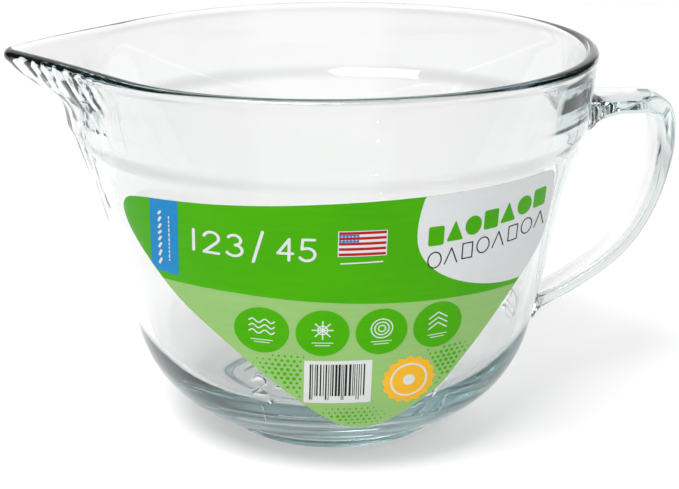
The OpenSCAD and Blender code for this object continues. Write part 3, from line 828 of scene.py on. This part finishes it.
def dots_piece(ink):
    """Small round dots in staggered rows, smaller towards the edge of their patch."""
    places, sizes = [], []
    for j, z in enumerate(np.arange(*DOTS_Z, DOT_ROW)):
        for x in np.arange(*DOTS_X, DOT_PITCH):
            x = x + (j % 2) * DOT_PITCH / 2
            full = max(share * math.exp(-((x - mid_x) / wide) ** 2 - ((z - mid_z) / tall) ** 2)
                       for mid_x, mid_z, wide, tall, share in DOT_PATCHES)
            if full > DOT_LEAST and room_for_dot(x, z):
                places.append((x * MM, (PRINT[1] + OVERPRINT[1]) / 2 * MM, z * MM))
                sizes.append(DOT_R * full ** DOT_FADE)
    points = flat_mesh("dot_places", places, [], size=sizes)
    t, given = shape_tree("dots_on_the_label", {"Dot unit": MM, "Uneven": DOT_UNEVEN})
    luck = t.node("FunctionNodeRandomValue", {"data_type": "FLOAT"}, {"Seed": DOT_SEED}, FLOAT_OUT)
    grow = given["Dot unit"] * t.attribute("size") * (1 - luck * given["Uneven"])
    dot = t.node("GeometryNodeMeshCylinder", {}, {
        "Vertices": DOT_SIDES, "Radius": 1.0, "Depth": (OVERPRINT[1] - PRINT[1]) * MM})
    scale = t.node("ShaderNodeCombineXYZ", {}, [grow, grow, 1.0])
    laid = t.node("GeometryNodeInstanceOnPoints", {}, {
        "Points": given["Mesh"], "Instance": dot, "Rotation": (PI / 2, 0, 0), "Scale": scale})
    close_tree(t, bent(t, t.node("GeometryNodeRealizeInstances", {}, [laid])), ink)
    place_label("label_dots", grown("label_dots", points, t))


# Figures on the round marks, each a list of lines with their widths

MOTIF_UP, MOTIF_LINE, RING_LINE, STAR_RING_LINE = 1.2, 0.45, 0.42, 0.4
UNDERLINES, UNDERLINE_W = ((3.4, 4.9), (2.4, 5.9)), 0.3


def waves(x, z):
    half, top, pitch, tall, step, bends, count = 4, 2.4, 2.1, 0.7, 0.4, 1.57, 21
    lines = [[(x - half + step * i, z + top - pitch * row + tall * math.sin(step * i * bends))
              for i in range(count)] for row in range(3)]
    return [(line, MOTIF_LINE) for line in lines]


def star(x, z):
    r, ring_r = 3.4, 1.6
    arms = [[(x - r * math.cos(q), z - r * math.sin(q)), (x + r * math.cos(q), z + r * math.sin(q))]
            for q in (0, PI / 4, PI / 2, 3 * PI / 4)]
    return [(arm, MOTIF_LINE) for arm in arms] + [(arc(x, z, ring_r, ring_r, 0, 360, 24), STAR_RING_LINE)]


def rings(x, z):
    return [(arc(x, z, r, r, 0, 360, 32), RING_LINE) for r in (1.2, 2.4, 3.6)]


def chevrons(x, z):
    half, foot, peak, pitch = 3.2, 2.6, 0.4, 2
    lines = [[(x - half, z - foot + pitch * row), (x, z - peak + pitch * row),
              (x + half, z - foot + pitch * row)] for row in range(3)]
    return [(line, MOTIF_LINE) for line in lines]


def disc_motifs():
    """Plain figures on the round marks, with two short lines under each."""
    lines = []
    for k, motif in enumerate((waves, star, rings, chevrons)):
        x, z = ROW_X + k * DISC_PITCH, ROW_Z + MOTIF_UP
        lines += motif(x, z)
        lines += [([(x - half, z - down), (x + half, z - down)], UNDERLINE_W) for half, down in UNDERLINES]
    return [loop for points, width in lines for loop in line_loops(points, width)]


# Figures on the film and the panel, and the small patch between them

PRINTED_FIGURES = ((1, -57), (2, -51.5), (3, -44.2), (4, -28.6), (5, -21.6))
PRINTED_W, PRINTED_H, PRINTED_Z, PRINTED_LINE = 4.6, 7.6, 85.6, 0.95
SLANT, SLANT_LINE = [(-36.2, 84.2), (-33.4, 95.2)], 1.0
BOLD_COUNT, BOLD_X, BOLD_Z, BOLD_PITCH, BOLD_RISE = 7, 22.3, 92.2, 6.55, 0.9
BOLD_HALF_W, BOLD_HALF_H, BOLD_PEAK, WIDE_HALF, BOLD_CORNER, PEAK_CORNER = 2.7, 3.5, 3.9, 3.0, 0.9, 0.7
THIN_COUNT, THIN_X, THIN_Z, THIN_PITCH, THIN_RISE, THIN_LINE = 8, 22.2, 83.4, 5.8, 0.8, 0.45
THIN_RING, THIN_PEAK, THIN_BOX = (2.3, 2.9), (2.2, 2.8), (1.8, 2.8)
PATCH_X, PATCH_Z, PATCH_W, PATCH_H, PATCH_EDGE = -9.6, 87.4, 15.2, 8.6, 0.3
PATCH_ROWS, PATCH_LOW_ROWS, PATCH_CORNER_SHARE = 9, 4, 0.42
PATCH_DOTS, PATCH_DOT_R, PATCH_DOT_FROM, PATCH_DOT_PITCH = (5, 4), 0.3, (0.9, 0.85), (1.15, 1.05)
PATCH_LINE, PATCH_LINE_W = [(-8.8, 84.6), (4.6, 84.9)], 0.5
WIDE_DASHES = {"x": -65.6, "lean": 0.6, "first": 77.0, "last": 98,
               "lengths": (0.9, 2.2), "gap": 1.25, "width": 0.7}
FINE_DASHES = {"x": -62.4, "lean": 0.0, "first": 79.0, "last": 96,
               "lengths": (0.4, 1.1), "gap": 0.8, "width": 0.35}
BAR_WIDTHS, BAR_GAPS, BAR_LEFT, BAR_RIGHT = [0.28, 0.28, 0.5, 0.75], [0.3, 0.45, 0.6], 1.8, 2.2
BAR_TOP, BAR_FOOT, LONG_BAR_FOOT = 1.4, 3.0, 1.4


def white_figures():
    """Plain numbers in thin white lines, with a slanted line between them."""
    strokes = []
    for value, x in PRINTED_FIGURES:
        strokes += figure(value, x, PRINTED_Z, PRINTED_W, PRINTED_H)
    loops = [loop for s in strokes for loop in line_loops(s, PRINTED_LINE)]
    return loops + line_loops(SLANT, SLANT_LINE)


def bold_shapes():
    """A rising row of plain bold shapes: a square, a triangle and a round one in turn."""
    loops = []
    for i in range(BOLD_COUNT):
        x, z = BOLD_X + BOLD_PITCH * i, BOLD_Z + BOLD_RISE * i
        box = box_loop(x - BOLD_HALF_W, z - BOLD_HALF_H, x + BOLD_HALF_W, z + BOLD_HALF_H)
        peak = [(x - WIDE_HALF, z - BOLD_HALF_H), (x + WIDE_HALF, z - BOLD_HALF_H), (x, z + BOLD_PEAK)]
        loops.append((soft_corners(box, BOLD_CORNER), soft_corners(peak, PEAK_CORNER),
                      arc(x, z, WIDE_HALF, BOLD_HALF_H, 0, 350, 35))[i % 3])
    return loops


def thin_shapes():
    """A rising row of thin outlines: a ring, a peak and a box in turn."""
    loops = []
    for i in range(THIN_COUNT):
        x, z = THIN_X + THIN_PITCH * i, THIN_Z + THIN_RISE * i
        (peak_w, peak_h), (box_w, box_h) = THIN_PEAK, THIN_BOX
        left, right, low, high = x - box_w, x + box_w, z - box_h, z + box_h
        line = (arc(x, z, *THIN_RING, 0, 360, 32),
                [(x - peak_w, z - peak_h), (x, z + peak_h), (x + peak_w, z - peak_h)],
                [(left, high), (left, low), (right, low), (right, high), (left, high)])[i % 3]
        loops += line_loops(line, THIN_LINE)
    return loops


def striped_patch():
    """A small patch of stripes with a corner of dots: its edge, stripes, corner and dots."""
    row_z = [PATCH_Z + PATCH_H * k / PATCH_ROWS for k in range(PATCH_ROWS + 1)]
    corner_z = row_z[PATCH_LOW_ROWS]
    stripes = [box_loop(PATCH_X, row_z[k], PATCH_X + PATCH_W, row_z[k + 1]) for k in range(0, PATCH_ROWS, 2)]
    corner = box_loop(PATCH_X, corner_z, PATCH_X + PATCH_W * PATCH_CORNER_SHARE, PATCH_Z + PATCH_H)
    (columns, rows), (dot_x, dot_z), (pitch_x, pitch_z) = PATCH_DOTS, PATCH_DOT_FROM, PATCH_DOT_PITCH
    places = [(PATCH_X + dot_x + pitch_x * i, corner_z + dot_z + pitch_z * j)
              for i in range(columns) for j in range(rows)]
    dots = [arc(x, z, PATCH_DOT_R, PATCH_DOT_R, 0, 315, 7) for x, z in places]
    edge = box_loop(PATCH_X - PATCH_EDGE, PATCH_Z - PATCH_EDGE, PATCH_X + PATCH_W + PATCH_EDGE,
                    PATCH_Z + PATCH_H + PATCH_EDGE)
    return edge, stripes, corner, dots


def dash_column(luck, x, lean, first, last, lengths, gap, width):
    """Short dashes of uneven length, one over another."""
    loops, z = [], first
    while z < last:
        long = float(luck.uniform(*lengths))
        loops += line_loops([(x, z), (x + lean, z + long)], width)
        z += long + gap
    return loops


def stripe_marks():
    """Two columns of short pale dashes along the coloured stripe."""
    luck = np.random.default_rng(5)
    return dash_column(luck, **WIDE_DASHES) + dash_column(luck, **FINE_DASHES)


def box_bars():
    """Upright dark bars of uneven width that stand for nothing."""
    luck = np.random.default_rng(8)
    loops, x = [], BOX_X + BAR_LEFT
    while x < BOX_X + BOX_W - BAR_RIGHT:
        wide = float(luck.choice(BAR_WIDTHS))
        foot = LONG_BAR_FOOT if len(loops) % 6 in (0, 1) else BAR_FOOT
        loops.append(box_loop(x, BOX_Z + foot, x + wide, BOX_Z + BOX_H - BAR_TOP))
        x += wide + float(luck.choice(BAR_GAPS))
    return loops


def badge_loop():
    """The badge's outline, with small round teeth."""
    loop = []
    for q in np.linspace(0, 2 * PI, BADGE_POINTS + 1)[:-1]:
        r = BADGE_D / 2 - BADGE_TOOTH + BADGE_TOOTH * math.cos(BADGE_TEETH * q)
        loop.append((BADGE_X + r * math.cos(q), BADGE_Z + r * math.sin(q)))
    return loop


# Inks: colours in linear light, the painted reflection streaks along the film, its clouds and its small waves

REFLECTION_STREAK_SCALE, INK_CLOUDS, INK_WAVES = (60, 60, 700), 45.0, 120.0
# The first tint is painted light: the colour of a faint glow that stands in for light passing the thin film
PAINTED_GLOW_TINT, INK_IOR, WAVE_STRENGTH, WAVE_DEEP, ROUGH_SPREAD = (0.8, 0.95, 0.76, 1), 1.15, 0.12, 0.4, 0.16


def printed(name, colour, deep, rough=0.24, painted_glow=0.0):
    """Glossy print: its colour drifts a little at random and carries faint painted reflection streaks, its
    film waves, and it may glow with painted light that stands in for light passing the film.
    """
    m, t = new_material(name)
    place = t.node("ShaderNodeTexCoord", {}, (), "Object")
    streaked = t.node("ShaderNodeMapping", {}, {"Vector": place, "Scale": REFLECTION_STREAK_SCALE})
    # Painted reflection: noise stretched along the film draws faint streaks that stand for reflections; the
    # clouds are the ink's own uneven tone
    painted_reflection_streaks, cloud = t.noise(streaked, 1.0, 3.0), t.noise(place, INK_CLOUDS)
    mixed = (painted_reflection_streaks * 0.5 + cloud * 0.5).clamped()
    # The colour mixes painted reflection streaks with the ink's real uneven tone
    tone = t.node("ShaderNodeValToRGB", {"stops": [(0.3, deep), (0.7, colour)]}, [mixed])
    bump = t.node("ShaderNodeBump", {}, {
        "Strength": WAVE_STRENGTH, "Distance": WAVE_DEEP * MM, "Height": t.noise(place, INK_WAVES)})
    # The emission is painted light: a constant glow that stands in for light passing the thin film, not a
    # lamp
    shine = t.node("ShaderNodeBsdfPrincipled", {}, {
        "Base Color": tone, "Roughness": cloud * ROUGH_SPREAD + rough - ROUGH_SPREAD / 2, "Normal": bump,
        "IOR": INK_IOR, "Emission Color": PAINTED_GLOW_TINT, "Emission Strength": painted_glow})
    t.node("ShaderNodeOutputMaterial", {}, {"Surface": shine})
    return m


def lay_film():
    """The film with its pale backing, and its printed areas."""
    # The backing's glow is painted light, standing in for light that passes the thin film
    backing = printed("film_backing", (0.76, 0.77, 0.76), (0.72, 0.73, 0.72), rough=0.3, painted_glow=0.24)
    green = printed("film_green", (0.057, 0.35, 0.0), (0.046, 0.315, 0.0))
    silver = printed("print_silver", (0.63, 0.65, 0.655), (0.59, 0.61, 0.615), rough=0.2)
    pale = printed("print_pale_green", (0.262, 0.46, 0.153), (0.236, 0.424, 0.132))
    field, panel = rounded(on_label(FIELD_SHARES)), rounded(on_label(PANEL_SHARES), 3)
    label_piece("label_backing", [sheet("backing", [LABEL_LOOP], BACKING)], backing, None)
    label_piece("label_film", [sheet("film", [LABEL_LOOP], FILM)], green, "label_film")
    label_piece("label_field", [sheet("field", [field], PRINT)], pale, "label_field")
    label_piece("label_panel", [sheet("panel", [panel], PRINT)], silver, "label_panel")


def lay_prints():
    """The stripe, the discs, the badge and the box, and all that is printed on them."""
    blue = printed("print_blue", (0.012, 0.22, 0.48), (0.006, 0.18, 0.43))
    bright = printed("print_bright_green", (0.059, 0.355, 0.0), (0.049, 0.32, 0.0))
    orange = printed("print_orange", (0.78, 0.43, 0.03), (0.74, 0.37, 0.018))
    white = printed("print_white", (0.62, 0.63, 0.62), (0.58, 0.59, 0.58))
    black = printed("print_black", (0.02, 0.02, 0.022), (0.012, 0.012, 0.014))
    red = printed("print_red", (0.4, 0.015, 0.02), (0.36, 0.01, 0.014))
    disc_r = DISC_D / 2
    discs = [arc(ROW_X + k * DISC_PITCH, ROW_Z, disc_r, disc_r, 0, 354, 59) for k in range(DISC_COUNT)]
    patch, stripes, corner, corner_dots = striped_patch()
    box = box_loop(BOX_X, BOX_Z, BOX_X + BOX_W, BOX_Z + BOX_H)
    dot = arc(BADGE_X, BADGE_Z, BADGE_DOT_R, BADGE_DOT_R, 0, 350, 35)
    ring, ring_in = (arc(BADGE_X, BADGE_Z, r, r, 0, 354, 59) for r in BADGE_RINGS)
    label_piece("label_stripe", [sheet("stripe", [on_label(STRIPE_SHARES)], PRINT)], blue,
                "label_stripe")
    label_piece("label_corner_patch", [sheet("corner", [corner], CORNER_PATCH, corner_dots)], blue,
                None)
    round_and_bold = [sheet("discs", discs, OVERPRINT), sheet("bold", bold_shapes(), OVERPRINT)]
    label_piece("label_discs", round_and_bold, bright, "label_discs")
    label_piece("label_badge", [sheet("badge", [badge_loop()], OVERPRINT)], orange,
                "label_badge")
    label_piece("label_box", [sheet("box", [box], OVERPRINT)], white, "label_box")
    marks = [sheet("figures", white_figures() + stripe_marks() + [patch], OVERPRINT, (), COARSE_GRID),
             sheet("motifs", disc_motifs(), TOP_LINES, (), 0), sheet("ring", [ring], TOP_LINES, [ring_in], 0),
             sheet("dot", [dot], TOP_LINES),
             sheet("patch_lines", line_loops(PATCH_LINE, PATCH_LINE_W), OVERPRINT, (), COARSE_GRID)]
    label_piece("label_white_lines", marks, white, None)
    label_piece("label_red_lines", [sheet("red", stripes, RED_LINES)], red)
    dark = [sheet("bars", box_bars(), TOP_LINES, (), COARSE_GRID),
            sheet("thin", thin_shapes(), OVERPRINT, (), 0)]
    label_piece("label_dark_lines", dark, black)
    dots_piece(bright)


lay_film()
lay_prints()


# Floor, light and camera, in metres

FLOOR_HALF, FLOOR_DROP, FLOOR_COLOUR, FLOOR_ROUGH, FLOOR_GLOW = 6, 0.0002, (0.72, 0.72, 0.72), 0.7, 0.27
SIDES_FROM, SIDES_TO, SIDES_GLOW = 0.48, 0.68, 0.08
LIGHT_PLACE, LIGHT_AIM, LIGHT_SIZE, LIGHT_WATTS = (-0.55, -0.7, 1.5), (0, 0, 0.05), (1.0, 0.8), 27
BOUNCES = 48


def plain(name, colour, rough, glow):
    """A plain finish with a little light of its own."""
    m, t = new_material(name)
    shine = t.node("ShaderNodeBsdfPrincipled", {}, {
        "Base Color": (*colour, 1), "Roughness": rough,
        "Emission Color": (1, 1, 1, 1), "Emission Strength": glow})
    t.node("ShaderNodeOutputMaterial", {}, {"Surface": shine})
    return m


def lay_floor():
    """A pale floor just under the foot."""
    mesh = bpy.data.meshes.new("floor")
    corners = box_loop(-FLOOR_HALF, -FLOOR_HALF, FLOOR_HALF, FLOOR_HALF)
    mesh.from_pydata([(x, y, -FLOOR_DROP) for x, y in corners], [], [(0, 1, 2, 3)])
    mesh.materials.append(plain("pale_floor", FLOOR_COLOUR, FLOOR_ROUGH, FLOOR_GLOW))
    floor = in_scene("floor", mesh)


def soft_studio():
    """Even white light all round, with darker sides that draw the edges of the glass."""
    world = bpy.data.worlds.new("soft_studio")
    bpy.context.scene.world = world
    world.use_nodes = True
    world.node_tree.nodes.clear()
    t = Tree(world.node_tree)
    across = t.parts(t.node("ShaderNodeTexCoord", {}, (), "Generated"))[0]
    glow = t.node("ShaderNodeValToRGB", {
        "stops": [(SIDES_FROM, (1, 1, 1)), (SIDES_TO, (SIDES_GLOW, SIDES_GLOW, SIDES_GLOW))]}, [abs(across)])
    back = t.node("ShaderNodeBackground", {}, [glow, 1.0])
    t.node("ShaderNodeOutputWorld", {}, {"Surface": back})


def softbox():
    """One broad lamp, high up on the left of the camera."""
    light = bpy.data.lights.new("soft_top", "AREA")
    light.shape, light.energy = "RECTANGLE", LIGHT_WATTS
    light.size, light.size_y = LIGHT_SIZE
    o = in_scene("soft_top", light)
    o.location = LIGHT_PLACE
    o.rotation_euler = (Vector(LIGHT_AIM) - Vector(LIGHT_PLACE)).to_track_quat("-Z", "Y").to_euler()


# The photograph's camera: its place in metres, its turns in radians, its width and focal length in pixels
CAMERA_PLACE, CAMERA_YAW, CAMERA_PITCH, CAMERA_ROLL = (0, -0.57342, 0.24659), 0.003866, 0.308112, -0.0055
PART_TURN = math.radians(-7.5)
PHOTO_WIDTH_PX, FOCAL_PX, SENSOR_MM, CLIP = 679, 1611.25, 36.0, (0.01, 50)


def photo_camera():
    """The camera fitted to the photograph, turned into the part's axes."""
    yaw, pitch, roll = CAMERA_YAW, CAMERA_PITCH, CAMERA_ROLL
    ahead = Vector((math.sin(yaw) * math.cos(pitch), math.cos(yaw) * math.cos(pitch), -math.sin(pitch)))
    right = ahead.cross(Vector((0, 0, 1))).normalized()
    up = right.cross(ahead)
    right, up = right * math.cos(roll) + up * math.sin(roll), up * math.cos(roll) - right * math.sin(roll)
    spin = Matrix.Rotation(PART_TURN, 3, "Z")
    data = bpy.data.cameras.new("photo_view")
    data.sensor_width, data.lens = SENSOR_MM, SENSOR_MM * FOCAL_PX / PHOTO_WIDTH_PX
    data.clip_start, data.clip_end = CLIP
    cam = in_scene("photo_view", data)
    turned = Matrix((right, up, -ahead)).transposed()
    cam.matrix_world = Matrix.Translation(spin @ Vector(CAMERA_PLACE)) @ (spin @ turned).to_4x4()
    bpy.context.scene.camera = cam


lay_floor()
soft_studio()
softbox()
photo_camera()
bpy.context.scene.view_settings.view_transform = "Standard"
paths = bpy.context.scene.cycles
paths.max_bounces = paths.glossy_bounces = paths.transmission_bounces = BOUNCES
